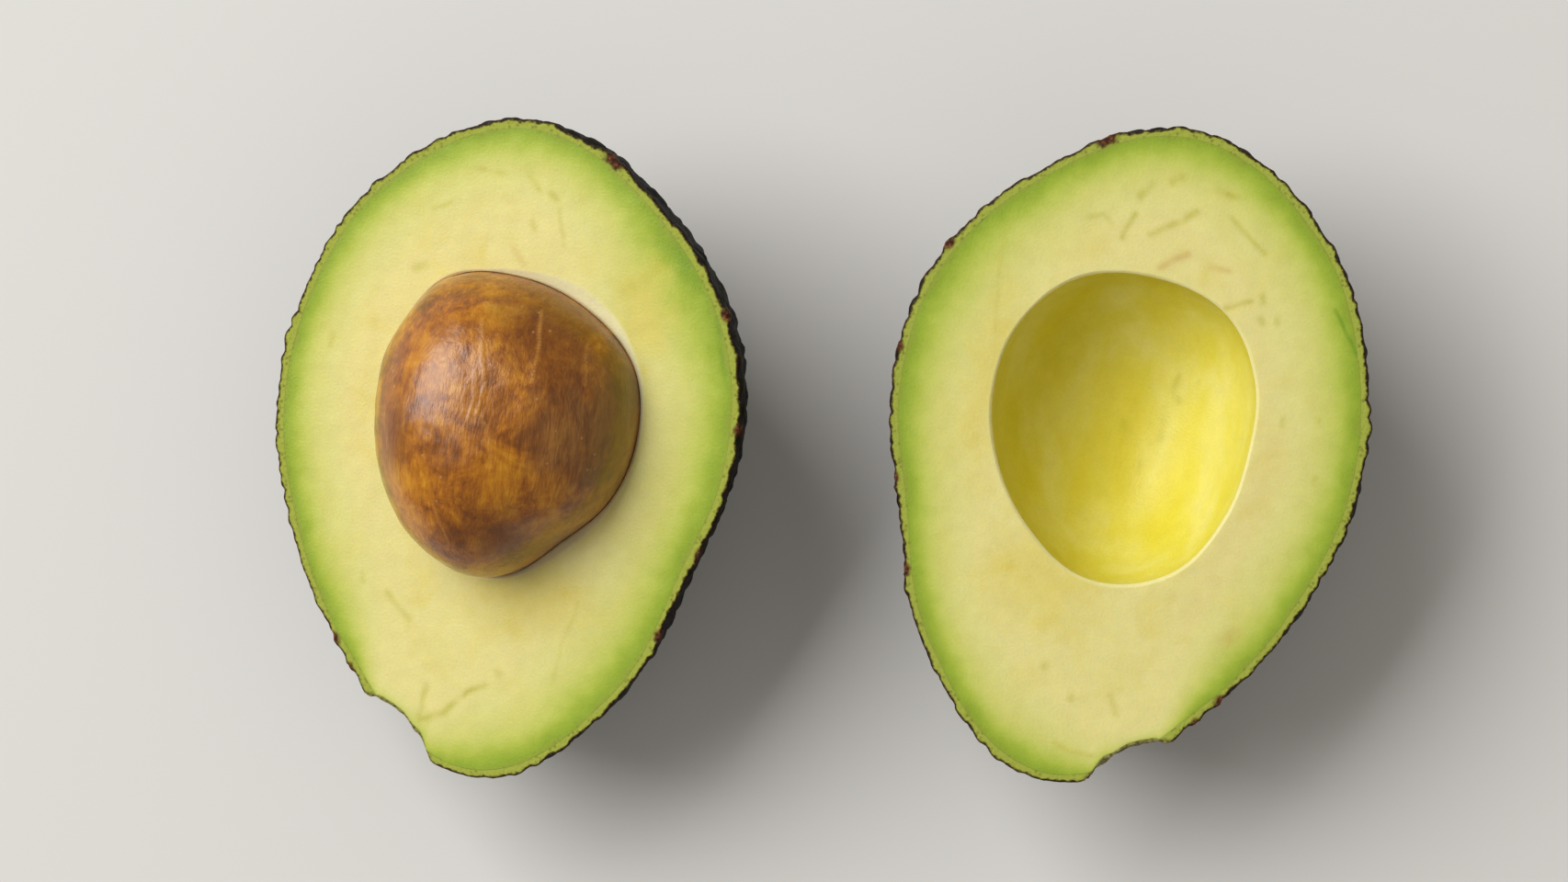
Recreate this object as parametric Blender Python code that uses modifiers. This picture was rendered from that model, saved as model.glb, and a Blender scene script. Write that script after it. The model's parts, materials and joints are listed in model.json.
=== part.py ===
"""An avocado cut in half lengthwise, lying open: one half holds the stone, the other the hollow it left.

The fruit is modelled whole in its own frame, with the cut in the plane Z = 0, the blunt end towards +Y
and the stem end towards -Y. Each half is that fruit under the knife, turned, tipped and set on the table.
The second half is the first one's mirror image, as the two faces of one cut are.
"""

import math

import bmesh
import bpy
from mathutils import Matrix, Vector

MM = 0.001

# The fruit. Each outline is a distance from a centre every 30 degrees, anticlockwise from +X.
RIND_OUTLINE = (36.0, 39.6, 43.5, 48.8, 44.2, 38.6, 36.3, 37.0, 42.8, 52.6, 43.5, 35.4)
RIND_DEPTH = 34.0  # from the cut face to the deepest point of the rind
SKIN_THICKNESS = 1.3
SOCKET_OUTLINE = (20.3, 21.9, 23.1, 22.6, 22.6, 20.7, 19.3, 20.8, 23.8, 24.2, 21.3, 19.9)
SOCKET_CENTRE = (0.5, 3.2)
SOCKET_DEPTH = 19.0

# The stone twisted a little in its socket as the halves came apart, so it has an outline of its own.
STONE_OUTLINE = (20.1, 21.3, 20.9, 22.3, 23.2, 21.3, 19.7, 20.0, 22.6, 24.0, 20.0, 19.6)
STONE_CENTRE = (0.7, 3.3)
STONE_DEPTH = 18.4  # half its thickness
GAP = 0.3  # between neighbouring solids

# The scar where the stalk came away: a shallow dish in the stem end, which the cut passes beside.
SCAR_CENTRE = (-17.8, -54.6)
SCAR_BELOW_CUT = 3.0  # in the stone half; in the hollow half it is as far above
SCAR_RADIUS = 12.4

# How each half lies: where the middle of its cut face is, how far it is turned about Z,
# how far it is tipped, and the compass direction of its raised edge.
STONE_HALF = dict(hand=1, place=(-48.0, 1.81), turn=-7.7, tip=15.6, raised_edge=29.4)
HOLLOW_HALF = dict(hand=-1, place=(45.9, 1.11), turn=-13.0, tip=6.0, raised_edge=30.0)
SETTLE = 0.8  # how much of the rind is pressed flat where a half rests

# Facets
RIND_SEGMENTS, RIND_RINGS = 48, 25
STONE_SEGMENTS, STONE_RINGS = 36, 21
SCAR_SEGMENTS, SCAR_RINGS = 40, 21

# Sizes that only have to be larger than the fruit
KNIFE_SIZE = 140.0
TABLE_SIZE = 400.0
TABLE_DEPTH = 20.0


def outline_reach(outline, angle):
    """The distance to a smooth closed curve through the outline's points, in the direction of an angle."""
    count = len(outline)
    position = (angle / math.tau) % 1.0 * count
    first = int(position)
    t = position - first
    a, b, c, d = (outline[(first + step) % count] for step in (-1, 0, 1, 2))
    straight = b + 0.5 * t * (c - a)
    return straight + 0.5 * t * t * (2 * a - 5 * b + 4 * c - d) + 0.5 * t**3 * (3 * (b - c) + d - a)


def add_object(name, mesh, collection, parent=None):
    """An object in a collection, placed with its parent."""
    thing = bpy.data.objects.new(name, mesh)
    collection.objects.link(thing)
    thing.parent = parent
    return thing


def fruit_body(name, outline, depth, facets, hand):
    """The mesh of a closed, rounded body with this outline at Z = 0 and this depth above and below it."""
    bm = bmesh.new()
    bmesh.ops.create_uvsphere(bm, u_segments=facets[0], v_segments=facets[1], radius=1.0)
    for vert in bm.verts:
        angle = math.atan2(vert.co.y, vert.co.x)
        reach = outline_reach(outline, angle) * math.hypot(vert.co.x, vert.co.y)
        x, y, z = hand * reach * math.cos(angle), reach * math.sin(angle), depth * vert.co.z
        vert.co = (x * MM, y * MM, z * MM)
    if hand < 0:
        bmesh.ops.reverse_faces(bm, faces=bm.faces)
    mesh = bpy.data.meshes.new(name)
    bm.to_mesh(mesh)
    bm.free()
    mesh.shade_smooth()
    return mesh


def grow(thing, distance):
    """Moves a body's whole surface outwards by the same distance, or inwards by a negative one."""
    offset = thing.modifiers.new("offset", "DISPLACE")
    offset.mid_level = 0.0
    offset.strength = distance * MM


def cut_away(thing, cutter):
    """Takes a cutter's volume out of a body."""
    cut = thing.modifiers.new("cut by " + cutter.name, "BOOLEAN")
    cut.operation = "DIFFERENCE"
    cut.solver = "EXACT"
    cut.object = cutter


def mark_as_cutter(cutter):
    cutter.hide_render = True
    cutter.display_type = "WIRE"


def box_cutter(name, size, centre, collection, parent=None):
    """A rectangular cutter of this size about this centre."""
    bm = bmesh.new()
    bmesh.ops.create_cube(bm, size=1.0)
    bmesh.ops.scale(bm, vec=Vector(size) * MM, verts=bm.verts)
    mesh = bpy.data.meshes.new(name)
    bm.to_mesh(mesh)
    bm.free()
    cutter = add_object(name, mesh, collection, parent)
    cutter.location = Vector(centre) * MM
    mark_as_cutter(cutter)
    return cutter


def scar_cutter(name, hand, collection, parent):
    """The dish that the stalk leaves in the stem end."""
    bm = bmesh.new()
    bmesh.ops.create_uvsphere(
        bm, u_segments=SCAR_SEGMENTS, v_segments=SCAR_RINGS, radius=SCAR_RADIUS * MM
    )
    mesh = bpy.data.meshes.new(name)
    bm.to_mesh(mesh)
    bm.free()
    cutter = add_object(name, mesh, collection, parent)
    x, y = SCAR_CENTRE
    cutter.location = Vector((hand * x, y, -hand * SCAR_BELOW_CUT)) * MM
    mark_as_cutter(cutter)
    return cutter


def set_material(thing, name, colour, roughness):
    """A plain dielectric material in the colour of a piece."""
    material = bpy.data.materials.new(name)
    material.use_nodes = True
    shader = material.node_tree.nodes["Principled BSDF"]
    shader.inputs["Base Color"].default_value = (*colour, 1.0)
    shader.inputs["Roughness"].default_value = roughness
    shader.inputs["Metallic"].default_value = 0.0
    material.diffuse_color = (*colour, 1.0)
    thing.data.materials.append(material)


def lay_half(name, half, rind_mesh, collection):
    """An empty at the middle of a half's cut face, set so that the rind under it settles on the table."""
    spin = Matrix.Rotation(math.radians(half["turn"]), 4, "Z")
    tip_axis = Matrix.Rotation(math.radians(half["raised_edge"] - 90.0), 3, "Z") @ Vector((1, 0, 0))
    turned = Matrix.Rotation(math.radians(half["tip"]), 4, tip_axis) @ spin
    lowest = min((turned @ vert.co).z for vert in rind_mesh.vertices)
    frame = add_object(name, None, collection)
    x, y = half["place"]
    frame.matrix_world = Matrix.Translation((x * MM, y * MM, -lowest - SETTLE * MM)) @ turned
    return frame


def make_skin(name, rind_mesh, cutters, collection, frame):
    """The pebbled rind: a thin shell just under the fruit's outline, cut off at the knife's plane."""
    skin = add_object(name, rind_mesh, collection, frame)
    shell = skin.modifiers.new("shell", "SOLIDIFY")
    shell.thickness = SKIN_THICKNESS * MM
    shell.offset = -1.0
    shell.use_even_offset = True
    for cutter in cutters:
        cut_away(skin, cutter)
    set_material(skin, name, (0.020, 0.016, 0.012), 0.5)


def make_flesh(name, rind_mesh, cutters, collection, frame):
    """The flesh: all that the skin holds, with the knife's flat face on top and the socket in it."""
    flesh = add_object(name, rind_mesh.copy(), collection, frame)
    grow(flesh, -SKIN_THICKNESS - GAP)
    for cutter in cutters:
        cut_away(flesh, cutter)
    set_material(flesh, name, (0.66, 0.62, 0.22), 0.4)
    return flesh


def stone_body(name, outline, centre, depth, hand, collection, frame):
    """A body the shape of the stone, in its place under the middle of the cut face."""
    mesh = fruit_body(name, outline, depth, (STONE_SEGMENTS, STONE_RINGS), hand)
    body = add_object(name, mesh, collection, frame)
    body.location = (hand * centre[0] * MM, centre[1] * MM, 0.0)
    return body


def make_half(side, half, table, parts, cutters):
    """One half of the fruit. Returns its frame and its flesh."""
    hand = half["hand"]
    rind_mesh = fruit_body(side + "_rind", RIND_OUTLINE, RIND_DEPTH, (RIND_SEGMENTS, RIND_RINGS), hand)
    frame = lay_half(side + "_frame", half, rind_mesh, parts)
    knife_size = (KNIFE_SIZE, KNIFE_SIZE, KNIFE_SIZE)
    knife = box_cutter(side + "_knife", knife_size, (0, 0, KNIFE_SIZE / 2), cutters, frame)
    scar = scar_cutter(side + "_scar", hand, cutters, frame)
    socket = stone_body(
        side + "_socket", SOCKET_OUTLINE, SOCKET_CENTRE, SOCKET_DEPTH, hand, cutters, frame
    )
    mark_as_cutter(socket)
    make_skin(side + "_skin", rind_mesh, (knife, scar, table), parts, frame)
    flesh = make_flesh(side + "_flesh", rind_mesh, (knife, scar, socket), parts, frame)
    return frame, flesh


def make_stone(name, flesh, parts, cutters, frame):
    """The stone: one seed in its brown coat, whole, lying loose in the bed it has pressed in the flesh."""
    shape = (STONE_OUTLINE, STONE_CENTRE, STONE_DEPTH, STONE_HALF["hand"])
    stone = stone_body(name, *shape, parts, frame)
    set_material(stone, name, (0.22, 0.075, 0.02), 0.35)
    bed = stone_body("stone_bed", *shape, cutters, frame)
    grow(bed, GAP)
    mark_as_cutter(bed)
    cut_away(flesh, bed)


def build():
    for thing in list(bpy.data.objects):
        bpy.data.objects.remove(thing, do_unlink=True)
    parts = bpy.data.collections.new("halved_avocado")
    cutters = bpy.data.collections.new("cutters")
    for collection in (parts, cutters):
        bpy.context.scene.collection.children.link(collection)
    table_size = (TABLE_SIZE, TABLE_SIZE, TABLE_DEPTH)
    table = box_cutter("table", table_size, (0, 0, -TABLE_DEPTH / 2), cutters)
    frame, flesh = make_half("stone_half", STONE_HALF, table, parts, cutters)
    make_stone("stone", flesh, parts, cutters, frame)
    make_half("hollow_half", HOLLOW_HALF, table, parts, cutters)


build()
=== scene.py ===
"""An avocado cut in half and laid open: one half keeps the stone, the other shows the hollow it left.

Shapes are worked out in the fruit's own axes, in millimetres: the cut is the plane Z = 0, +Y points to the
blunt end and -Y to the stem end. The hollow half mirrors X, as the two faces of one cut are mirror images.
"""

import json
import math

import bpy
import numpy as np
from mathutils import Matrix, Vector, noise


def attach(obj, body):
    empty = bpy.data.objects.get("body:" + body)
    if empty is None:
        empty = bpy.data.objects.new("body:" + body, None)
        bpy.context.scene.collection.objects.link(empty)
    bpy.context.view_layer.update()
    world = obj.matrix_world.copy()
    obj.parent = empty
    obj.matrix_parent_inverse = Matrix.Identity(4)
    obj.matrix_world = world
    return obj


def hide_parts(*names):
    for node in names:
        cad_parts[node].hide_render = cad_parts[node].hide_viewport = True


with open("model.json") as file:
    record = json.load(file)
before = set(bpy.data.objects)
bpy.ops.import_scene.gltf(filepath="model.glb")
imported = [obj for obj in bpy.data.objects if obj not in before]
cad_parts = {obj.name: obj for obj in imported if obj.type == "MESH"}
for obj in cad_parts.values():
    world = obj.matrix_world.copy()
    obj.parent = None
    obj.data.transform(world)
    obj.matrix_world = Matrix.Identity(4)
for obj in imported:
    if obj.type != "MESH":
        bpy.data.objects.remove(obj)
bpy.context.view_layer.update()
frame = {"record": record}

# ------------------------------------------------------------------------------------------------
# The skins
# The rind of the ripe fruit, in two halves: a leathery, pebbled skin 1.3 mm thick that has ripened
# from green to brown-black. It grows on the flesh, so it is fixed all over, and the knife that
# halved the fruit left its edge as a thin ring round each cut face.
# ------------------------------------------------------------------------------------------------

MM = 0.001
HALVES = {  # mirrored or not, and how far the fruit is turned about the cut face's middle
    "stone_half": (1, math.radians(-7.7)),
    "hollow_half": (-1, math.radians(-13.0)),
}
MOUNT_TO_MIDDLE = 33.0  # along the fruit, from the point that each cut face's mount states

# Distances from the middle of the cut face to the rind, every 30 degrees anticlockwise from +X
RIND_OUTLINE = (36.0, 39.6, 43.5, 48.8, 44.2, 38.6, 36.3, 37.0, 42.8, 52.6, 43.5, 35.4)
RIND_DEPTH = 34.0
SKIN_THICKNESS = 1.3

# The scar where the stalk came away: a shallow dish, lined with a thin layer of cork
SCAR_CENTRE = (-17.8, -54.6)
SCAR_BELOW_CUT = 0.5  # in the stone half; in the hollow half it is as far above
SCAR_RADIUS = 12.1
SCAR_STRETCH = np.array([1.0, 1.0, 1.7])  # the dish is longer across the cut than along it
SCAR_LINING = 0.35
SCAR_FADE = 0.5  # how far beyond the dish the cork takes to end

PEBBLE = 3.6  # the usual distance between two pebbles
PEBBLE_HEIGHT = 0.62
FURROW = 0.45  # how wide the furrows between them are, as a share of that distance
PEBBLE_WARP = 0.8  # how far their outlines wander
CUT_EDGE = 0.25  # how far the skin's cut edge is rounded
SEAM = 0.04  # how closely the rings follow a sharp edge

# Uneven surfaces, each as waves: height, size and the noise's pattern
RIND_WAVES = ((0.35, 4.5, 40.0), (0.12, 1.2, 44.0))
CORK_WAVES = ((0.2, 1.1, 50.0),)
FLAKE_WAVES = ((0.25, 0.7, 52.0),)
KNIFE_WAVES = ((0.09, 8.0, 21.0), (0.035, 2.2, 5.0))  # the knife left the face almost flat
FLAKE_LIFT = 0.15  # how far a torn flake stands off the rind

# Where the knife tore the skin's edge and left red-brown flakes: x, y and size
FLAKE_DEPTH = 1.2  # how far below the cut they are whole
FLAKES = (
    (13.0, 44.8, 1.7),
    (32.6, 24.0, 1.1),
    (36.6, 7.2, 1.0),
    (33.0, -13.0, 1.2),
    (28.0, -25.9, 1.0),
    (-23.4, -34.6, 1.1),
    (-20.4, -38.6, 0.9),
)

AROUND = 640  # points round each ring, about 0.4 mm apart at the rind
ANGLES = np.linspace(0.0, math.tau, AROUND, endpoint=False)


def fruit_axes(half):
    """The matrix from the fruit's own millimetres to the frame's metres, for one half."""
    hand, turn = HALVES[half]
    face = next(m for m in frame["record"]["mounts"] if m["name"] == half + "_cut_face")
    tip = Vector((0, 0, 1)).rotation_difference(Vector(face["axis"])).to_matrix()
    turned = tip @ Matrix.Rotation(turn, 3, "Z")
    middle = Vector(face["pos_m"]) + turned @ Vector((0, MOUNT_TO_MIDDLE * MM, 0))
    return Matrix.Translation(middle) @ (turned @ Matrix.Diagonal((hand * MM, MM, MM))).to_4x4()


def outline_reach(outline, angles):
    """Distances to a smooth closed curve through an outline's points, in these directions."""
    points = np.array(outline)
    count = len(points)
    position = (angles / math.tau) % 1.0 * count
    first = position.astype(int)
    t = position - first
    a, b, c, d = (points[(first + step) % count] for step in (-1, 0, 1, 2))
    bend = t * t * (2 * a - 5 * b + 4 * c - d) + t**3 * (3 * (b - c) + d - a)
    return b + 0.5 * (t * (c - a) + bend)


def bowl(outline, centre, depth, dips, inset=0.0):
    """Rings of points on a bowl hung this far inside an outline in the cut face.

    A dip of 90 degrees is its bottom.
    """
    reach = outline_reach(outline, ANGLES) - inset
    dips = dips.reshape(len(dips), -1)
    level = np.cos(dips) * reach
    x = centre[0] + level * np.cos(ANGLES)
    y = centre[1] + level * np.sin(ANGLES)
    z = np.broadcast_to(-(depth - inset) * np.sin(dips), x.shape)
    return np.stack([x, y, z], axis=-1)


def scar_middle(half):
    """Where the middle of the scar's dish is in one half."""
    return np.array([*SCAR_CENTRE, -HALVES[half][0] * SCAR_BELOW_CUT])


def press_scar(points, half, lining):
    """Pushes points towards the middle of the cut face until they are out of the stalk's scar."""
    radius = SCAR_RADIUS + lining + 0.5 * noise_at(points, 2.2, 33.0)[..., None]
    far = np.linalg.norm(points, axis=-1, keepdims=True)
    inwards = -points / np.maximum(far, 1e-6)
    to_centre = (scar_middle(half) - points) / SCAR_STRETCH
    line = inwards / SCAR_STRETCH
    length = np.sum(line**2, axis=-1, keepdims=True)
    along = np.sum(to_centre * line, axis=-1, keepdims=True)
    depth_inside = radius**2 - np.sum(to_centre**2, axis=-1, keepdims=True)
    way_out = (along + np.sqrt(np.maximum(along**2 + length * depth_inside, 0.0))) / length
    return points + np.where(depth_inside > 0.0, way_out, 0.0) * inwards


def scar_cover(points, half):
    """1 in the scar's dish and 0 away from it."""
    away = np.linalg.norm((points - scar_middle(half)) / SCAR_STRETCH, axis=-1) - SCAR_RADIUS
    return np.clip(1.3 - away / SCAR_FADE, 0.0, 1.0)


def flake_cover(points):
    """1 on the torn flakes of skin and 0 away from them."""
    cover = np.zeros(points.shape[:-1])
    ragged = 0.5 * noise_at(points, 0.9, 61.0)
    for x, y, size in FLAKES:
        away = np.hypot(points[..., 0] - x, points[..., 1] - y) / size + ragged
        near_cut = np.clip(1.0 + (points[..., 2] + FLAKE_DEPTH) / 0.8, 0.0, 1.0)
        cover = np.maximum(cover, near_cut * np.clip(2.4 - 2.0 * away, 0.0, 1.0))
    return cover


def noise_at(points, size, pattern):
    """Smooth noise from -1 to 1 at each point, with lumps of about this size. Each pattern is another."""
    shifted = points.reshape(-1, 3) / size + pattern
    values = [noise.noise(Vector(p)) for p in shifted]
    return np.array(values).reshape(points.shape[:-1])


def waves_at(points, waves):
    """The height of an uneven surface at each point: the sum of waves, each a height, size and pattern."""
    return sum(height * noise_at(points, size, pattern) for height, size, pattern in waves)


def pebbles_at(points):
    """The height of the rind's pebbles, from 0 in the furrows to 1 on the tops."""
    sideways = [noise_at(points, 3.0, pattern) for pattern in (3.1, 7.7, 12.3)]
    warped = points + PEBBLE_WARP * np.stack(sideways, axis=-1)
    heights = []
    for p in warped.reshape(-1, 3) / PEBBLE:
        nearest, second = noise.voronoi(Vector(p))[0][:2]
        heights.append((second - nearest, nearest))
    gap, nearest = np.array(heights).reshape(*points.shape[:-1], 2).transpose(2, 0, 1)
    plateau = 1.0 - np.exp(-((gap / FURROW) ** 1.4))
    dome = 1.0 - 0.5 * np.clip(nearest, 0.0, 1.2) ** 2
    return np.clip(plateau * dome, 0.0, 1.0)


def normals_of(rings):
    """Unit normals of a bowl's rings, pointing out of it."""
    round_it = np.roll(rings, -1, axis=1) - np.roll(rings, 1, axis=1)
    down_it = np.gradient(rings, axis=0)
    normal = np.cross(down_it, round_it)
    normal /= np.maximum(np.linalg.norm(normal, axis=-1, keepdims=True), 1e-9)
    outwards = np.sum(normal * rings, axis=-1, keepdims=True)
    return np.where(outwards < 0, -normal, normal)


def closed_body(name, rings, axes, marks):
    """One closed mesh through rings listed from pole to pole, with nothing of it below the table.

    Each mark has a value for every point, which the materials read.
    """
    count, around = rings.shape[:2]
    ends = [rings[0].mean(axis=0), rings[-1].mean(axis=0)]
    points = np.vstack([rings.reshape(-1, 3), ends])
    near = np.arange(count * around).reshape(count, around)
    ahead = np.roll(near, -1, axis=1)
    quads = np.stack([near[:-1], ahead[:-1], ahead[1:], near[1:]], axis=-1).reshape(-1, 4)
    first = np.stack([ahead[0], near[0], np.full(around, count * around)], axis=-1)
    last = np.stack([near[-1], ahead[-1], np.full(around, count * around + 1)], axis=-1)
    mesh = bpy.data.meshes.new(name)
    world = points @ np.array(axes.to_3x3()).T + np.array(axes.translation)
    world[:, 2] = np.maximum(world[:, 2], 0.0)
    mesh.from_pydata(world, [], quads.tolist() + first.tolist() + last.tolist())
    a, b, c = (world[quads[:, i]] for i in (0, 1, 2))
    if np.sum(a * np.cross(b, c)) < 0:
        mesh.flip_normals()
    mesh.shade_smooth()
    for mark, values in {"place": rings, **marks}.items():
        kind, field = ("FLOAT_VECTOR", "vector") if values.ndim == 3 else ("FLOAT", "value")
        flat = values.reshape(count, around, -1)
        full = np.vstack([flat.reshape(-1, flat.shape[-1]), flat[0].mean(axis=0), flat[-1].mean(axis=0)])
        mesh.attributes.new(mark, kind, "POINT").data.foreach_set(field, full.astype(np.float32).ravel())
    body = bpy.data.objects.new(name, mesh)
    bpy.context.scene.collection.objects.link(body)
    return body


def colour(code):
    """An sRGB hex value as the linear colour that a shader takes."""
    parts = [int(code[i : i + 2], 16) / 255 for i in (1, 3, 5)]
    linear = [c / 12.92 if c <= 0.04045 else ((c + 0.055) / 1.055) ** 2.4 for c in parts]
    return (*linear, 1.0)


def add(tree, kind, settings=(), inputs=()):
    """Adds a node, sets its properties and fills its inputs, each with a link or a value."""
    made = tree.nodes.new(kind)
    for name, value in dict(settings).items():
        if name == "stops":
            while len(made.color_ramp.elements) < len(value):
                made.color_ramp.elements.new(1.0)
            for element, (position, code) in zip(made.color_ramp.elements, value):
                element.position = position
                element.color = colour(code)
        else:
            setattr(made, name, value)
    for key, value in dict(inputs).items():
        if isinstance(value, bpy.types.NodeSocket):
            tree.links.new(value, made.inputs[key])
        else:
            made.inputs[key].default_value = value
    return made


def new_material(name):
    """An empty material with a Principled shader, and its tree and shader."""
    material = bpy.data.materials.new(name)
    material.use_nodes = True
    return material, material.node_tree, material.node_tree.nodes["Principled BSDF"]


def ripe_rind():
    """Ripe avocado rind, a waxy leather: near black in the furrows and brown on the pebbles' tops, partly
    its own colour and partly painted shade in the furrows and painted sheen on the tops.

    Its cut edge shows its thickness: a dark outer line, then olive green where it meets the flesh.
    """
    material, tree, shader = new_material("ripe avocado rind")
    place = add(tree, "ShaderNodeAttribute", {"attribute_name": "place"}).outputs["Vector"]
    height, inwards, cork, flakes = (
        add(tree, "ShaderNodeAttribute", {"attribute_name": mark}).outputs["Fac"]
        for mark in ("height", "inwards", "cork", "flakes")
    )

    # black-brown furrows and browner tops, partly the skin's own colour and partly painted shade in the
    # furrows and painted sheen on the tops, in a skin that keeps some green in patches 8 mm across
    tops = add(
        tree,
        "ShaderNodeValToRGB",
        {"stops": [(0.0, "#080603"), (0.45, "#120e08"), (0.8, "#251c12"), (1.0, "#3d2d1c")]},
        {"Fac": height},
    ).outputs["Color"]
    patches = add(tree, "ShaderNodeTexNoise", {}, {"Vector": place, "Scale": 0.12, "Detail": 4.0})
    green = add(
        tree,
        "ShaderNodeValToRGB",
        {"stops": [(0.5, "#000000"), (0.7, "#8c8c8c")]},
        {"Fac": patches.outputs["Fac"]},
    ).outputs["Color"]
    outside = add(
        tree,
        "ShaderNodeMix",
        {"data_type": "RGBA"},
        {0: green, 6: tops, 7: colour("#20250f")},
    ).outputs[2]

    # the cut edge, by depth under the surface: an uneven dark line, then olive
    ragged = add(tree, "ShaderNodeTexNoise", {}, {"Vector": place, "Scale": 1.3, "Detail": 4.0})
    uneven = add(
        tree,
        "ShaderNodeMath",
        {"operation": "MULTIPLY_ADD"},
        {0: ragged.outputs["Fac"], 1: 0.9, 2: inwards},
    ).outputs[0]
    edge = add(
        tree,
        "ShaderNodeValToRGB",
        {
            "stops": [
                (0.60, "#2a1d0f"),
                (0.74, "#5b4a20"),
                (0.86, "#8b9034"),
                (0.98, "#a2ac44"),
            ]
        },
        {"Fac": uneven},
    ).outputs["Color"]

    # the ends of stony cells on the cut edge: brown-green pits 0.5 mm across, larger than the real ones
    cells = add(tree, "ShaderNodeTexVoronoi", {}, {"Vector": place, "Scale": 1.15, "Randomness": 1.0})
    pits = add(
        tree,
        "ShaderNodeMapRange",
        {},
        {"Value": cells.outputs["Distance"], "From Min": 0.4, "From Max": 0.15, "To Max": 0.5},
    ).outputs["Result"]
    edge = add(
        tree, "ShaderNodeMix", {"data_type": "RGBA"}, {0: pits, 6: edge, 7: colour("#666223")}
    ).outputs[2]

    on_cut = add(
        tree, "ShaderNodeMath", {"operation": "GREATER_THAN"}, {0: inwards, 1: 0.02}
    ).outputs[0]
    base = add(
        tree, "ShaderNodeMix", {"data_type": "RGBA"}, {0: on_cut, 6: outside, 7: edge}
    ).outputs[2]

    # the stalk's scar is dry olive-brown cork, and torn flakes show the red-brown layer under the surface
    grain = add(tree, "ShaderNodeTexNoise", {}, {"Vector": place, "Scale": 1.6, "Detail": 5.0})
    corky = add(
        tree,
        "ShaderNodeValToRGB",
        {"stops": [(0.35, "#4d4426"), (0.5, "#857c48"), (0.65, "#aaa066")]},
        {"Fac": grain.outputs["Fac"]},
    ).outputs["Color"]
    base = add(tree, "ShaderNodeMix", {"data_type": "RGBA"}, {0: cork, 6: base, 7: corky}).outputs[2]
    torn = add(
        tree,
        "ShaderNodeValToRGB",
        {"stops": [(0.35, "#24140d"), (0.5, "#4c2816"), (0.65, "#7a472a")]},
        {"Fac": grain.outputs["Fac"]},
    ).outputs["Color"]
    base = add(tree, "ShaderNodeMix", {"data_type": "RGBA"}, {0: flakes, 6: base, 7: torn}).outputs[2]
    tree.links.new(base, shader.inputs["Base Color"])

    # fine wrinkles on and between the pebbles, 0.6 mm apart, under wax that is duller here than there
    wrinkles = add(
        tree, "ShaderNodeBump", {}, {"Height": grain.outputs["Fac"], "Strength": 0.6, "Distance": 0.0003}
    )
    tree.links.new(wrinkles.outputs["Normal"], shader.inputs["Normal"])
    wax = add(
        tree,
        "ShaderNodeMapRange",
        {},
        {"Value": grain.outputs["Fac"], "To Min": 0.55, "To Max": 0.75},
    ).outputs["Result"]
    tree.links.new(wax, shader.inputs["Roughness"])
    shader.inputs["IOR"].default_value = 1.45
    shader.inputs["Specular IOR Level"].default_value = 0.15
    return material


rind_material = ripe_rind()


def make_skin(half):
    """One half of the rind: up its inner side from the bottom, over the cut edge and down outside."""
    axes = fruit_axes(half)
    inner_dips = np.radians([86, 78, 70, 62, 54, 45, 36, 27, 18, 9, 3, 0.07, 0])
    outer_dips = np.radians(np.linspace(0.35, 88.5, 118))
    inner = bowl(RIND_OUTLINE, (0, 0), RIND_DEPTH, inner_dips, SKIN_THICKNESS)
    inner = press_scar(inner, half, SCAR_LINING)
    smooth = press_scar(bowl(RIND_OUTLINE, (0, 0), RIND_DEPTH, outer_dips), half, 0.0)
    cork = scar_cover(smooth, half)
    flakes = flake_cover(smooth)
    height = pebbles_at(smooth)
    lumps = PEBBLE_HEIGHT * (height - height.mean()) + waves_at(smooth, RIND_WAVES)
    lumps = lumps * (1.0 - 0.8 * cork) + cork * waves_at(smooth, CORK_WAVES)
    lumps += flakes * (FLAKE_LIFT + waves_at(smooth, FLAKE_WAVES))
    outer = smooth + lumps[..., None] * normals_of(smooth)
    outer[0, :, 2] = np.minimum(outer[0, :, 2], -CUT_EDGE)

    # the cut edge, with rings close together at its two corners
    rim_in, rim_out = inner[-1], outer[0].copy()
    rim_out[:, 2] = 0.0
    across = rim_in - rim_out
    width = np.linalg.norm(across, axis=-1, keepdims=True)
    step = np.minimum(CUT_EDGE / width, 0.3)
    flat = np.ones_like(width)
    shares = [flat, flat - SEAM / width, 0.8 * flat, 0.6 * flat, 0.4 * flat, step, step * 0.35]
    cut = np.stack([rim_out + share * across for share in shares])
    cut[..., 2] = waves_at(cut, KNIFE_WAVES)
    cut[-1, :, 2] -= CUT_EDGE * 0.3
    rings = np.concatenate([inner[:-1], cut, outer])

    inside = np.zeros((len(inner) - 1, AROUND))
    marks = {
        "height": np.concatenate([inside, np.zeros(cut.shape[:2]), height]),
        "cork": np.concatenate([inside, scar_cover(cut, half), cork]),
        "flakes": np.concatenate([inside, flake_cover(cut), flakes]),
        "inwards": np.concatenate(
            [
                inside + SKIN_THICKNESS,
                np.stack([(share * width)[:, 0] for share in shares]),
                np.zeros(smooth.shape[:2]),
            ]
        ),
    }
    skin = closed_body(half + "_rind", rings, axes, marks)
    skin.data.materials.append(rind_material)
    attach(skin, "root")
    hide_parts(half + "_skin")


for half in HALVES:
    make_skin(half)

# ------------------------------------------------------------------------------------------------
# The flesh
# Soft, oily flesh that fills each skin: green where it grew against the rind and cream towards the
# stone. The knife cut it flat round the stone, and the stone left its smooth socket in each half.
# ------------------------------------------------------------------------------------------------

SOCKET_OUTLINE = (20.3, 21.9, 23.1, 22.6, 22.6, 20.7, 19.3, 20.8, 23.8, 24.2, 21.3, 19.9)
SOCKET_CENTRE = (0.5, 3.2)
SOCKET_DEPTH = 19.0

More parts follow.
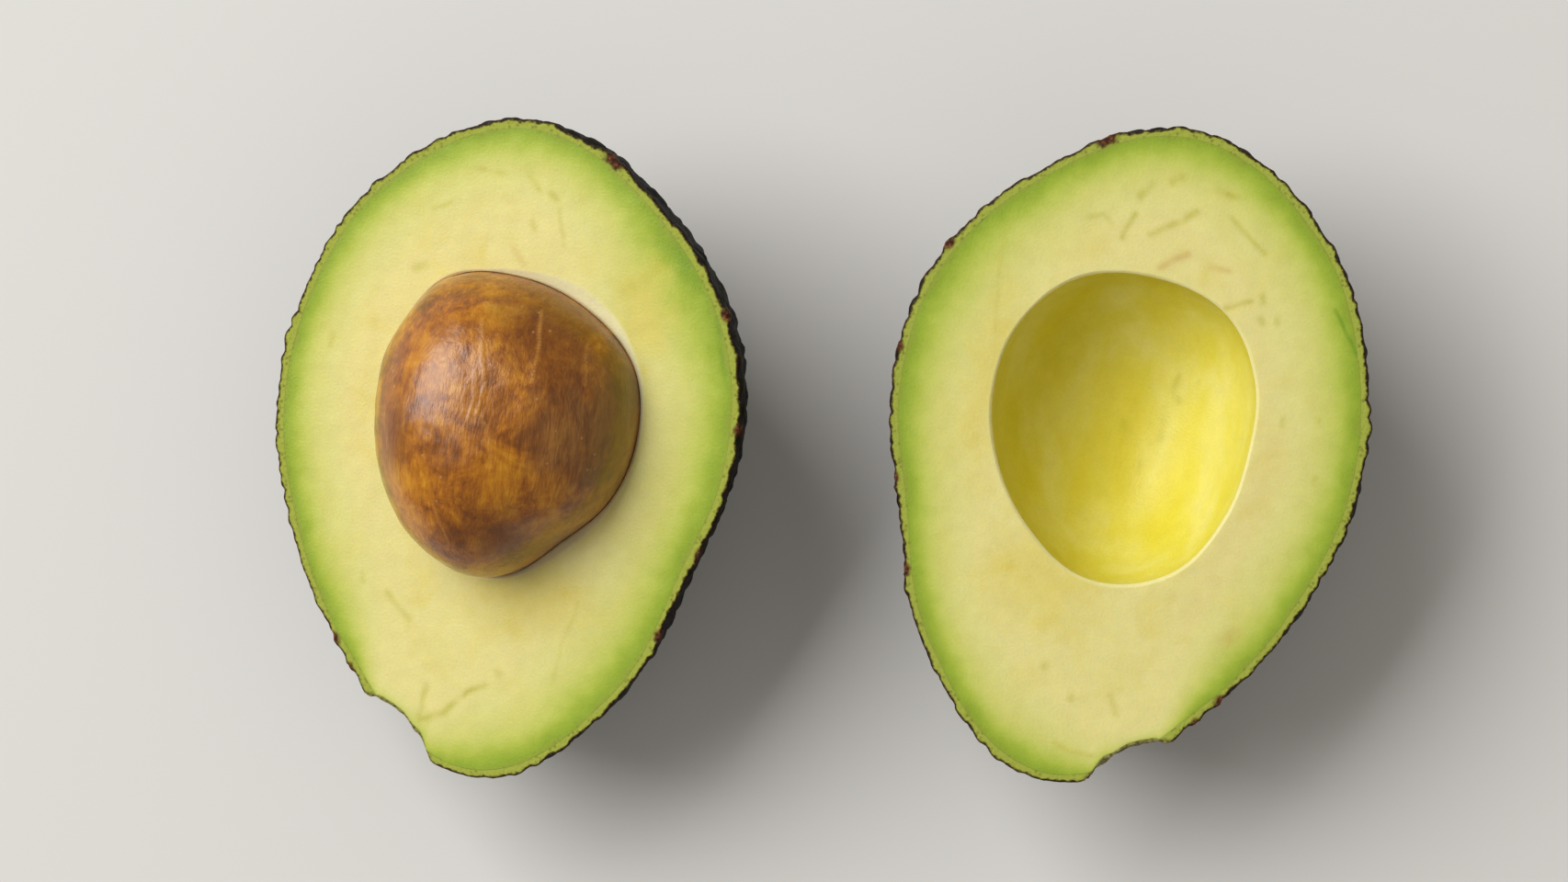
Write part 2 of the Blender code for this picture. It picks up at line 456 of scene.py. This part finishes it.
# The stone that the socket grew round
STONE_OUTLINE = (20.1, 21.3, 20.9, 21.7, 23.2, 21.0, 19.2, 19.8, 21.9, 24.1, 20.1, 19.7)
STONE_CENTRE = (0.7, 3.3)
STONE_DEPTH = 18.4
GAP = 0.08

SCAR_COMPASS = 254  # degrees round the fruit
LIP = 0.35  # how far the socket's edge is rounded
LIP_SLOPE = 0.9  # how far the edge drops for each mm across
PULLED_SLOPE = 0.3  # the same for the shelf left where the stone pulled away from the flesh

# Where round the fruit the green reaches further in, or less far: degrees, by how much and how widely.
# There is hardly any behind the stalk's scar.
GREENEST = {
    "stone_half": (
        (48, 0.9, 20),
        (0, 0.35, 25),
        (300, 0.5, 28),
        (150, -0.2, 45),
        (SCAR_COMPASS, -0.8, 11),
    ),
    "hollow_half": ((140, 0.1, 40), (30, 0.3, 30), (SCAR_COMPASS, -0.8, 11)),
}
PALE_BY_SCAR = ((SCAR_COMPASS, 4.5, 9),)  # in mm: how much sooner the green ends there
PALE_AND_LIT_LIP = {"stone_half": 1.0, "hollow_half": 0.25}  # how far the socket's edge is painted pale: paler flesh, and painted light on its rounded edge and shelf
STRAND_DEPTH = 0.03
CREASE_DEPTH = 0.06
FACE_RINGS = 91
SOCKET_RINGS = 46

# The cut ends of the fine strands that run through the flesh: half width, strength, then points
STRANDS = {
    "stone_half": (
        (0.47, 0.48, (0.1, 40.5), (1.7, 38.6)),
        (0.61, 0.56, (3.8, 38.3), (4.6, 37.7)),
        (0.47, 0.48, (1.1, 33.5), (1.7, 32.6)),
        (0.41, 0.32, (5.3, 36.2), (5.9, 33.0), (6.4, 30.7)),
        (1.2, 0.3, (16.5, 25.5), (20.3, 27.8), (21.8, 29.9)),
        (0.47, 0.4, (-14.3, 33.6), (-11.9, 34.8)),
        (0.54, 0.4, (-8.1, 40.7), (-4.5, 40.1)),
        (0.68, 0.56, (-16.4, 24.3), (-15.1, 24.9)),
        (0.54, 0.32, (-28.3, 11.8), (-28.5, 10.6)),
        (0.54, 0.32, (-19.8, -23.8), (-19.4, -25.0)),
        (0.54, 0.36, (-15.5, -25.8), (-13.8, -28.0), (-11.5, -29.7)),
        (0.47, 0.48, (-7.8, -39.4), (-8.6, -44.4)),
        (0.54, 0.64, (-8.3, -45.0), (-4.5, -43.2), (-1.3, -39.2), (1.4, -37.9)),
        (0.61, 0.4, (3.1, -35.5), (3.6, -35.9)),
        (0.34, 0.2, (14.7, -22.9), (12.9, -29.8), (12.0, -36.4)),
    ),
    "hollow_half": (
        (0.47, 0.4, (4.6, 39.5), (5.8, 37.1)),
        (0.68, 0.56, (5.5, 38.0), (5.9, 37.4)),
        (0.68, 0.64, (0.5, 41.3), (1.5, 40.4)),
        (0.61, 0.64, (-5.6, 40.6), (-8.5, 40.4)),
        (0.47, 0.56, (6.1, 34.5), (7.0, 30.7)),
        (0.54, 0.56, (-3.0, 36.9), (0.8, 33.6), (2.9, 32.0)),
        (0.47, 0.48, (-8.3, 37.2), (-11.7, 34.7), (-14.3, 33.1)),
        (0.47, 0.32, (12.9, 32.4), (10.7, 33.4), (9.0, 32.3)),
        (0.41, 0.56, (-10.4, 23.7), (-12.6, 24.9), (-14.1, 25.6)),
        (0.61, 0.56, (-15.6, 26.5), (-15.8, 26.0)),
        (0.54, 0.4, (-16.1, 23.3), (-16.4, 22.9)),
        (0.54, 0.4, (-18.4, 23.8), (-18.5, 23.3)),
        (0.54, 0.32, (-22.6, 9.6), (-22.7, 8.4)),
        (0.47, 0.32, (-27.9, 10.6), (-28.0, 9.8)),
        (0.47, 0.32, (-29.4, 1.9), (-29.4, 0.9)),
        (0.68, 0.48, (3.7, -35.2), (3.8, -35.7)),
        (0.54, 0.4, (-1.4, -38.9), (-1.3, -39.5)),
        (0.47, 0.48, (-6.9, -37.5), (-8.4, -40.1)),
        (0.41, 0.4, (-0.4, -46.4), (-3.2, -47.2), (-6.4, -47.1)),
        (0.34, 0.2, (24.8, 28.8), (23.9, 20.6), (22.5, 12.5)),
    ),
}

# Faint marks that the seed coat left on the socket's wall, listed as the strands are
SOCKET_MARKS = {
    "stone_half": (),
    "hollow_half": (
        (1.0, 0.35, (0.6, 2.4), (0.5, 1.8)),
        (0.5, 0.45, (-6.0, 11.5), (-5.6, 9.0), (-7.0, 7.6)),
        (0.4, 0.4, (-9.3, 11.4), (-9.5, 10.6)),
        (0.6, 0.35, (-5.4, 4.8), (-5.6, 1.2), (-4.4, 0.4)),
        (0.5, 0.3, (-3.4, -3.0), (-3.3, -4.4)),
    ),
}

# Brown bruises
BRUISES = {
    "stone_half": ((0.6, 0.5, (-1.3, 29.2), (0.4, 27.4)),),
    "hollow_half": (
        (0.6, 0.8, (0.4, 27.6), (-1.6, 29.4), (-3.1, 30.3)),
        (0.45, 0.5, (-6.7, 29.3), (-9.7, 29.2)),
        (1.1, 0.5, (-22.9, -24.0), (-21.9, -25.5)),
        (3.0, 0.15, (-15.4, -22.0), (-21.0, -8.0), (-23.5, 5.0)),
    ),
}

# Warmer yellow flesh round the stone: x, y, half width and half length
WARM = {
    "stone_half": ((7.0, -23.0, 10.0, 6.0), (20.0, 22.0, 4.0, 8.0)),
    "hollow_half": ((7.0, -22.0, 9.0, 8.0), (22.0, 6.0, 3.5, 14.0)),
}

# Dark green creases close under the skin
CREASES = {
    "stone_half": ((1.7, 0.6, (27.0, 29.0), (24.6, 33.0)), (0.4, 0.5, (31.0, 25.0), (33.5, 14.0))),
    "hollow_half": (
        (0.3, 0.9, (-26.6, 27.1), (-29.0, 24.2), (-31.4, 21.1)),
        (0.5, 0.9, (28.0, 29.2), (29.0, 28.0)),
    ),
}


def near_lines(points, lines):
    """Each line's strength on the line, fading to 0 beside it, wavy and fainter in places."""
    cover = np.zeros(points.shape[:-1])
    x = points[..., 0] + 0.25 * noise_at(points, 3.4, 71.0)
    y = points[..., 1] + 0.25 * noise_at(points, 3.4, 77.0)
    for half_width, strength, *corners in lines:
        for (x0, y0), (x1, y1) in zip(corners, corners[1:]):
            dx, dy = x1 - x0, y1 - y0
            along = np.clip(((x - x0) * dx + (y - y0) * dy) / (dx * dx + dy * dy), 0.0, 1.0)
            away = np.hypot(x - x0 - along * dx, y - y0 - along * dy)
            cover = np.maximum(cover, strength * np.exp(-((away / half_width) ** 2)))
    return cover * np.clip(0.8 + 0.6 * noise_at(points, 1.6, 79.0), 0.25, 1.0)


def patches_at(points, patches):
    """1 inside each oval patch and 0 away from it, with soft and ragged edges."""
    cover = np.zeros(points.shape[:-1])
    ragged = 0.4 * noise_at(points, 3.5, 81.0) + 0.2 * noise_at(points, 1.2, 83.0)
    for x, y, half_width, half_length in patches:
        away = np.hypot((points[..., 0] - x) / half_width, (points[..., 1] - y) / half_length) + ragged
        cover = np.maximum(cover, np.clip(1.4 - away, 0.0, 1.0))
    return cover


def more_at(bumps):
    """For each direction round the fruit, the sum of smooth bumps: degrees, how much, how wide."""
    degrees = np.degrees(ANGLES)
    total = np.zeros(AROUND)
    for where, how_much, how_wide in bumps:
        away = (degrees - where + 180.0) % 360.0 - 180.0
        total += how_much * np.exp(-((away / how_wide) ** 2))
    return total


def cut_flesh():
    """Freshly cut avocado flesh: a moist, fine-grained butter that lets a little light in.

    Its colour runs from bright green under the rind through yellow-green to cream at the stone.
    """
    material, tree, shader = new_material("cut avocado flesh")
    place = add(tree, "ShaderNodeAttribute", {"attribute_name": "place"}).outputs["Vector"]
    from_rind, in_socket, strands, bruises, creases, warmth, lip = (
        add(tree, "ShaderNodeAttribute", {"attribute_name": mark}).outputs["Fac"]
        for mark in ("from_rind", "in_socket", "strands", "bruises", "creases", "warmth", "lip")
    )

    # the green reaches 1 mm further in here than there, in patches 5 mm across
    patches = add(
        tree, "ShaderNodeTexNoise", {}, {"Vector": place, "Scale": 0.2, "Detail": 6.0, "Roughness": 0.6}
    )
    uneven = add(
        tree,
        "ShaderNodeMath",
        {"operation": "MULTIPLY_ADD"},
        {0: patches.outputs["Fac"], 1: 3.0, 2: from_rind},
    ).outputs[0]
    depth = add(
        tree,
        "ShaderNodeMapRange",
        {},
        {"Value": uneven, "From Min": 1.5, "From Max": 17.5},
    ).outputs["Result"]
    flesh = add(
        tree,
        "ShaderNodeValToRGB",
        {
            "stops": [
                (0.0, "#97a638"),
                (0.04, "#95ae31"),
                (0.10, "#a5b93c"),
                (0.16, "#b7c54d"),
                (0.24, "#c9cf64"),
                (0.36, "#d8d67a"),
                (0.55, "#e2dd8c"),
                (0.8, "#e8de92"),
            ]
        },
        {"Fac": depth},
    ).outputs["Color"]

    # warmer yellow patches, 9 mm across and stronger away from the rind, and those listed above
    warm_patches = add(
        tree,
        "ShaderNodeTexNoise",
        {},
        {"Vector": place, "Scale": 0.11, "Detail": 5.0, "Distortion": 0.8},
    )
    warm = add(
        tree,
        "ShaderNodeMapRange",
        {},
        {"Value": warm_patches.outputs["Fac"], "From Min": 0.5, "From Max": 0.75, "To Max": 0.55},
    ).outputs["Result"]
    warm = add(
        tree, "ShaderNodeMath", {"operation": "MULTIPLY_ADD"}, {0: warm, 1: depth, 2: warmth}
    ).outputs[0]
    flesh = add(
        tree,
        "ShaderNodeMix",
        {"data_type": "RGBA", "clamp_factor": True},
        {0: warm, 6: flesh, 7: colour("#e1d068")},
    ).outputs[2]

    # the socket wall is a deeper yellow, in soft streaks 7 mm wide that run from end to end
    long_way = add(
        tree, "ShaderNodeVectorMath", {"operation": "MULTIPLY"}, {0: place, 1: (1.0, 0.35, 1.0)}
    ).outputs["Vector"]
    streaks = add(
        tree,
        "ShaderNodeTexNoise",
        {},
        {"Vector": long_way, "Scale": 0.14, "Detail": 5.0, "Roughness": 0.5, "Distortion": 0.3},
    )
    wall = add(
        tree,
        "ShaderNodeValToRGB",
        {"stops": [(0.32, "#ded03a"), (0.48, "#e1d552"), (0.6, "#e4da6a"), (0.75, "#e8de84")]},
        {"Fac": streaks.outputs["Fac"]},
    ).outputs["Color"]
    base = add(
        tree, "ShaderNodeMix", {"data_type": "RGBA"}, {0: in_socket, 6: flesh, 7: wall}
    ).outputs[2]

    # the socket's edge painted pale: paler flesh, and painted light where its rounded edge and the stone
    # half's shelf catch the light
    rubbed = add(tree, "ShaderNodeMath", {"operation": "MULTIPLY"}, {0: lip, 1: 0.8}).outputs[0]
    base = add(
        tree, "ShaderNodeMix", {"data_type": "RGBA"}, {0: rubbed, 6: base, 7: colour("#f5efc4")}
    ).outputs[2]

    # the stony cells that end here too, within 1 mm of the rind
    cells = add(tree, "ShaderNodeTexVoronoi", {}, {"Vector": place, "Scale": 1.15, "Randomness": 1.0})
    pits = add(
        tree,
        "ShaderNodeMapRange",
        {},
        {"Value": cells.outputs["Distance"], "From Min": 0.4, "From Max": 0.1, "To Max": 0.22},
    ).outputs["Result"]
    near_rind = add(
        tree,
        "ShaderNodeMapRange",
        {},
        {"Value": from_rind, "From Min": 1.2, "From Max": 0.2},
    ).outputs["Result"]
    pits = add(tree, "ShaderNodeMath", {"operation": "MULTIPLY"}, {0: pits, 1: near_rind}).outputs[0]
    base = add(
        tree, "ShaderNodeMix", {"data_type": "RGBA"}, {0: pits, 6: base, 7: colour("#6b7524")}
    ).outputs[2]

    # olive strands, brown bruises and green creases
    tones = ((strands, 0.95, "#b9b126"), (bruises, 0.75, "#cba052"), (creases, 0.8, "#6d961f"))
    for mark, strength, tone in tones:
        share = add(tree, "ShaderNodeMath", {"operation": "MULTIPLY"}, {0: mark, 1: strength}).outputs[0]
        base = add(
            tree, "ShaderNodeMix", {"data_type": "RGBA"}, {0: share, 6: base, 7: colour(tone)}
        ).outputs[2]

    # the wet grain of the cells the knife opened, drawn 0.4 mm across where the real one is finer, as
    # bumps and as painted glints that make its peaks paler, and paler and darker flesh by turns, 3 mm
    # apart
    grain = add(tree, "ShaderNodeTexNoise", {}, {"Vector": place, "Scale": 2.5, "Detail": 5.0})
    clouds = add(
        tree, "ShaderNodeTexNoise", {}, {"Vector": place, "Scale": 0.35, "Detail": 8.0, "Roughness": 0.68}
    )
    mixed = add(
        tree,
        "ShaderNodeMath",
        {"operation": "MULTIPLY_ADD"},
        {0: grain.outputs["Fac"], 1: 0.7, 2: clouds.outputs["Fac"]},
    ).outputs[0]
    tone_and_painted_glints = add(
        tree,
        "ShaderNodeMapRange",
        {},
        {"Value": mixed, "From Min": 0.6, "From Max": 1.1, "To Min": 0.95, "To Max": 1.04},
    ).outputs["Result"]
    base = add(tree, "ShaderNodeVectorMath", {"operation": "SCALE"}, {0: base, 3: tone_and_painted_glints}).outputs["Vector"]
    tree.links.new(base, shader.inputs["Base Color"])
    bumps = add(
        tree, "ShaderNodeBump", {}, {"Height": grain.outputs["Fac"], "Strength": 0.3, "Distance": 0.0002}
    )
    tree.links.new(bumps.outputs["Normal"], shader.inputs["Normal"])
    shader.inputs["Roughness"].default_value = 0.38
    shader.inputs["IOR"].default_value = 1.45
    shader.inputs["Specular IOR Level"].default_value = 0.35
    shader.inputs["Subsurface Weight"].default_value = 0.35
    shader.inputs["Subsurface Radius"].default_value = (1.0, 0.8, 0.3)
    shader.inputs["Subsurface Scale"].default_value = 0.0015
    return material


flesh_material = cut_flesh()


def make_socket(half):
    """The socket: its edge in the cut face, how far that edge drops, its rounded lip and its wall.

    In the stone half the wall fits the stone, with a shelf where the stone pulled away from the flesh.
    """
    shape = (SOCKET_OUTLINE, SOCKET_CENTRE, SOCKET_DEPTH)
    room = 0.0
    shelf = np.zeros(AROUND)
    if half == "stone_half":
        shape = (STONE_OUTLINE, STONE_CENTRE, STONE_DEPTH)
        room = GAP
        pulled_away = outline_reach(SOCKET_OUTLINE, ANGLES) - outline_reach(STONE_OUTLINE, ANGLES) - GAP
        shelf = np.maximum(pulled_away, 0.0)
    drop = LIP_SLOPE * LIP + PULLED_SLOPE * shelf
    start = np.arcsin(drop / shape[2])
    dips = start + np.linspace(0.0, 1.0, SOCKET_RINGS)[:, None] * (math.radians(88.5) - start)
    wall = bowl(*shape, dips, -room)
    edge = bowl(*shape, np.array([0.0]), -room - LIP - shelf)[0]
    rounds = np.array([0.25, 0.5, 0.75])[:, None]
    lip = edge + rounds[..., None] * (wall[0] - edge)
    lip[..., 2] = -drop * rounds
    return edge, drop, lip, wall


def make_flesh(half):
    """One half of the flesh: up its outer side from the bottom, over the cut face and into the socket."""
    axes = fruit_axes(half)
    outer_dips = np.radians([86, 74, 62, 50, 38, 26, 14, 3, 0.07, 0])
    outer = bowl(RIND_OUTLINE, (0, 0), RIND_DEPTH, outer_dips, SKIN_THICKNESS)
    outer = press_scar(outer, half, SCAR_LINING)
    outer[-1, :, 2] = waves_at(outer[-1], KNIFE_WAVES)
    edge, drop, lip, wall = make_socket(half)
    shares = np.concatenate([[0.003], np.linspace(0.0, 1.0, FACE_RINGS)[1:]])[:, None, None]
    face = outer[-1] + shares * (edge - outer[-1])
    strands = near_lines(face, STRANDS[half])
    creases = near_lines(face, CREASES[half])
    face[..., 2] = waves_at(face, KNIFE_WAVES) - STRAND_DEPTH * strands - CREASE_DEPTH * creases
    rings = np.concatenate([outer, face, lip, wall])

    # each mark, first outside, then on the face and then down the socket
    from_rind = np.linalg.norm(face - outer[-1], axis=-1) / (1.0 + more_at(GREENEST[half]))
    from_rind += more_at(PALE_BY_SCAR)
    outside = np.zeros((len(outer), AROUND))
    on_face = np.zeros((len(face), AROUND))
    on_lip = np.zeros((len(lip), AROUND))
    down = -np.concatenate([lip, wall])[..., 2]
    wall_starts = 0.1 + 1.2 * drop
    to_socket = np.linalg.norm(face - edge, axis=-1)
    below_lip = wall[0, :, 2] - wall[..., 2]
    # where the socket's edge is painted pale, partly painted light: the face beside it, the lip and shelf,
    # and the top of the wall
    rubbed = [np.clip(0.6 - to_socket / 0.4, 0.0, 1.0), on_lip + 1.0, np.exp(-below_lip / 0.5)]
    marks = {
        "from_rind": np.concatenate([outside, from_rind, np.repeat(from_rind[-1:], len(down), 0)]),
        "in_socket": np.concatenate([outside, on_face, np.clip((down - wall_starts) / 0.8, 0.0, 1.0)]),
        "strands": np.concatenate([outside, strands, on_lip, near_lines(wall, SOCKET_MARKS[half])]),
        "bruises": np.concatenate([outside, near_lines(face, BRUISES[half]), 0.0 * down]),
        "creases": np.concatenate([outside, creases, 0.0 * down]),
        "warmth": np.concatenate([outside, 0.6 * patches_at(face, WARM[half]), 0.0 * down]),
        "lip": PALE_AND_LIT_LIP[half] * np.concatenate([outside, *rubbed]),
    }
    flesh = closed_body(half + "_cut_flesh", rings, axes, marks)
    flesh.data.materials.append(flesh_material)
    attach(flesh, "root")
    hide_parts(half + "_flesh")


for half in HALVES:
    make_flesh(half)

# ------------------------------------------------------------------------------------------------
# The stone
# The fruit's one seed in its papery brown coat. It lies loose in the socket of its half, where it
# twisted a little as the halves were pulled apart. Below the cut it fits the socket.
# ------------------------------------------------------------------------------------------------

SHOULDER = 2.15  # above 2, the dome is squarer than an ellipse
LEAN = (-3.2, -2.8)  # how far the dome's top stands off the middle
LEAN_CURVE = 1.5  # above 1, the dome leans more towards its top
DENTS = ((0.28, 9.0, 90.0), (0.08, 3.0, 93.0), (0.03, 1.2, 96.0))  # height, size and pattern
FREE_HEIGHT = 2.0  # above the cut, where the stone is far enough from the flesh for its full dents
VEIN_HEIGHT = 0.08
VEINS = (  # half width, strength, then points
    (0.24, 0.8, (-1.5, 19.5), (0.0, 15.0), (1.2, 11.0), (1.0, 6.5)),
    (0.26, 0.6, (-0.6, 12.5), (0.2, 9.0), (-0.4, 5.0)),
    (0.22, 0.8, (6.0, 21.6), (7.3, 17.5), (7.9, 12.0)),
    (0.22, 0.5, (13.5, 17.5), (14.8, 12.0)),
    (0.26, 0.5, (1.5, 6.5), (3.4, 3.0), (4.0, -1.0)),
    (0.22, 0.5, (-9.5, 12.0), (-10.8, 7.0), (-10.2, 2.0)),
    (0.22, 0.4, (10.5, 8.0), (11.2, 2.0), (9.6, -4.0)),
    (0.22, 0.4, (-4.5, -8.0), (-2.0, -14.0)),
)

# Patches on the stone: x, y, half width and half length
RUBBED = ((13.5, 5.0, 5.0, 7.5),)
# Darker patches: two towards the upper right of the dome, one towards the bottom and one at the left
DARKER = ((8.0, 19.5, 8.0, 5.5), (11.5, 15.0, 4.0, 6.0), (4.0, -12.0, 7.0, 4.5), (-12.0, 2.0, 3.0, 6.0))
OLIVE = ((19.0, 7.0, 3.5, 13.0), (-15.0, -10.0, 3.0, 7.0))


def seed_coat():
    """The stone's coat: a thin papery skin, glossed by the fruit's oil, in mottled caramel browns.

    Fine lighter veins run down it. Where the coat has rubbed thin, the stone is a dull tan.
    """
    material, tree, shader = new_material("avocado seed coat")
    place = add(tree, "ShaderNodeAttribute", {"attribute_name": "place"}).outputs["Vector"]
    veins, rubbed, darker, olive = (
        add(tree, "ShaderNodeAttribute", {"attribute_name": mark}).outputs["Fac"]
        for mark in ("veins", "rubbed", "darker", "olive")
    )

    # clouds 7 mm across, broken by fibres that run from end to end
    clouds = add(
        tree,
        "ShaderNodeTexNoise",
        {},
        {"Vector": place, "Scale": 0.15, "Detail": 8.0, "Roughness": 0.66, "Distortion": 0.5},
    )
    long_way = add(
        tree, "ShaderNodeVectorMath", {"operation": "MULTIPLY"}, {0: place, 1: (1.0, 0.2, 1.0)}
    ).outputs["Vector"]
    fibres = add(
        tree,
        "ShaderNodeTexNoise",
        {},
        {"Vector": long_way, "Scale": 0.9, "Detail": 8.0, "Roughness": 0.7, "Distortion": 0.5},
    )
    mottle = add(
        tree,
        "ShaderNodeMath",
        {"operation": "MULTIPLY_ADD"},
        {0: fibres.outputs["Fac"], 1: 0.5, 2: clouds.outputs["Fac"]},
    ).outputs[0]
    base = add(
        tree,
        "ShaderNodeValToRGB",
        {
            "stops": [
                (0.58, "#713c01"),
                (0.68, "#935301"),
                (0.76, "#ab6702"),
                (0.84, "#bd7a08"),
                (0.96, "#cc921f"),
            ]
        },
        {"Fac": mottle},
    ).outputs["Color"]
    tones = ((darker, 0.65, "#6e3a00"), (olive, 0.6, "#8a6a1c"), (veins, 1.0, "#c88a38"))
    for mark, strength, tone in tones:
        share = add(tree, "ShaderNodeMath", {"operation": "MULTIPLY"}, {0: mark, 1: strength}).outputs[0]
        base = add(
            tree, "ShaderNodeMix", {"data_type": "RGBA"}, {0: share, 6: base, 7: colour(tone)}
        ).outputs[2]
    dull = add(
        tree,
        "ShaderNodeValToRGB",
        {"stops": [(0.4, "#764616"), (0.6, "#94642e")]},
        {"Fac": fibres.outputs["Fac"]},
    ).outputs["Color"]
    thin = add(tree, "ShaderNodeMath", {"operation": "MULTIPLY"}, {0: rubbed, 1: 0.75}).outputs[0]
    base = add(tree, "ShaderNodeMix", {"data_type": "RGBA"}, {0: thin, 6: base, 7: dull}).outputs[2]

    # pale specks 0.4 mm across and about 3 mm apart
    cells = add(tree, "ShaderNodeTexVoronoi", {}, {"Vector": place, "Scale": 0.32, "Randomness": 1.0})
    specks = add(
        tree,
        "ShaderNodeMapRange",
        {},
        {"Value": cells.outputs["Distance"], "From Min": 0.09, "From Max": 0.04, "To Max": 0.4},
    ).outputs["Result"]
    base = add(
        tree, "ShaderNodeMix", {"data_type": "RGBA"}, {0: specks, 6: base, 7: colour("#d0a468")}
    ).outputs[2]
    tree.links.new(base, shader.inputs["Base Color"])

    # the coat's wrinkles, 0.4 mm apart, which the oil on it half fills
    grain = add(tree, "ShaderNodeTexNoise", {}, {"Vector": long_way, "Scale": 2.6, "Detail": 6.0})
    wrinkles = add(
        tree, "ShaderNodeBump", {}, {"Height": grain.outputs["Fac"], "Strength": 0.55, "Distance": 0.00025}
    )
    tree.links.new(wrinkles.outputs["Normal"], shader.inputs["Normal"])
    oily = add(
        tree, "ShaderNodeBump", {}, {"Height": grain.outputs["Fac"], "Strength": 0.2, "Distance": 0.00025}
    )
    tree.links.new(oily.outputs["Normal"], shader.inputs["Coat Normal"])
    gloss = add(
        tree,
        "ShaderNodeMapRange",
        {},
        {"Value": rubbed, "To Min": 0.34, "To Max": 0.55},
    ).outputs["Result"]
    tree.links.new(gloss, shader.inputs["Roughness"])
    shader.inputs["IOR"].default_value = 1.45
    shader.inputs["Specular IOR Level"].default_value = 0.25
    shader.inputs["Coat Weight"].default_value = 0.9
    shader.inputs["Coat Roughness"].default_value = 0.26
    shader.inputs["Coat IOR"].default_value = 1.5
    return material


def make_stone():
    """The stone, from its lowest point to its top."""
    axes = fruit_axes("stone_half")
    dips = np.radians(np.linspace(89, -89, 150))
    rings = bowl(STONE_OUTLINE, STONE_CENTRE, STONE_DEPTH, dips)
    bulge = 1.0 / (np.abs(np.cos(dips)) ** SHOULDER + np.abs(np.sin(dips)) ** SHOULDER) ** (1.0 / SHOULDER)
    middle = np.array([*STONE_CENTRE, 0.0])
    rings = middle + (rings - middle) * np.where(dips < 0, bulge, 1.0)[:, None, None]
    rings[..., :2] += np.array(LEAN) * (np.maximum(rings[..., 2:], 0.0) / STONE_DEPTH) ** LEAN_CURVE
    veins = near_lines(rings, VEINS) * (rings[..., 2] > 0)
    marks = {"veins": veins}
    for mark, patches in (("rubbed", RUBBED), ("darker", DARKER), ("olive", OLIVE)):
        marks[mark] = patches_at(rings, patches) * (rings[..., 2] > 0)
    outwards = normals_of(rings - middle)
    free = np.clip(rings[..., 2] / FREE_HEIGHT, 0.0, 1.0)
    lumps = (waves_at(rings, DENTS) + VEIN_HEIGHT * veins) * free
    rings = rings + lumps[..., None] * outwards
    stone = closed_body("seed_stone", rings, axes, marks)
    stone.data.materials.append(seed_coat())
    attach(stone, "root")
    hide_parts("stone")


make_stone()

# ------------------------------------------------------------------------------------------------
# The studio
# A plain pale table, one large soft light half way up the sky beyond the stone half's blunt end, and
# the camera straight above. Sizes and places are in metres.
# ------------------------------------------------------------------------------------------------

FLOOR_SIZE = 4.0
CAMERA_DISTANCE = 0.666  # above the cut faces
VIEW_WIDTH = 0.2371  # what the camera sees across, at the height of the cut faces
CUT_HEIGHT = 0.034
CAMERA_PLACE = (-0.00527, 0.00178)
LIGHT_COMPASS = math.radians(148)
LIGHT_HEIGHT = math.radians(44)
LIGHT_DISTANCE = 2.2
LIGHT_WIDTH = 2.0
LIGHT_DEPTH = 1.4
LIGHT_POWER = 51.5
SKY_STRENGTH = 0.33


def make_floor():
    """The table: smooth, matt and pale."""
    bpy.ops.mesh.primitive_plane_add(size=FLOOR_SIZE)
    floor = bpy.context.object
    floor.name = "table"
    material, _, shader = new_material("pale matt table")
    shader.inputs["Base Color"].default_value = colour("#e2e0dc")
    shader.inputs["Roughness"].default_value = 0.8
    floor.data.materials.append(material)


def make_light():
    """A soft window of light aimed at the middle of the object, under an even pale sky."""
    lamp = bpy.data.lights.new("window", "AREA")
    lamp.shape = "RECTANGLE"
    lamp.size = LIGHT_WIDTH
    lamp.size_y = LIGHT_DEPTH
    lamp.energy = LIGHT_POWER
    light = bpy.data.objects.new("window", lamp)
    bpy.context.scene.collection.objects.link(light)
    level = math.cos(LIGHT_HEIGHT)
    towards = Vector(
        (level * math.cos(LIGHT_COMPASS), level * math.sin(LIGHT_COMPASS), math.sin(LIGHT_HEIGHT))
    )
    light.location = towards * LIGHT_DISTANCE
    light.rotation_euler = towards.to_track_quat("Z", "Y").to_euler()
    world = bpy.data.worlds.new("studio")
    world.use_nodes = True
    sky = world.node_tree.nodes["Background"]
    sky.inputs["Color"].default_value = colour("#f3efe8")
    sky.inputs["Strength"].default_value = SKY_STRENGTH
    bpy.context.scene.world = world


def make_camera():
    """A camera with a long lens, looking straight down with the blunt ends at the top."""
    lens = bpy.data.cameras.new("camera")
    lens.lens = lens.sensor_width * CAMERA_DISTANCE / VIEW_WIDTH
    camera = bpy.data.objects.new("camera", lens)
    bpy.context.scene.collection.objects.link(camera)
    camera.location = (*CAMERA_PLACE, CUT_HEIGHT + CAMERA_DISTANCE)
    bpy.context.scene.camera = camera


make_floor()
make_light()
make_camera()
bpy.context.scene.view_settings.view_transform = "Standard"
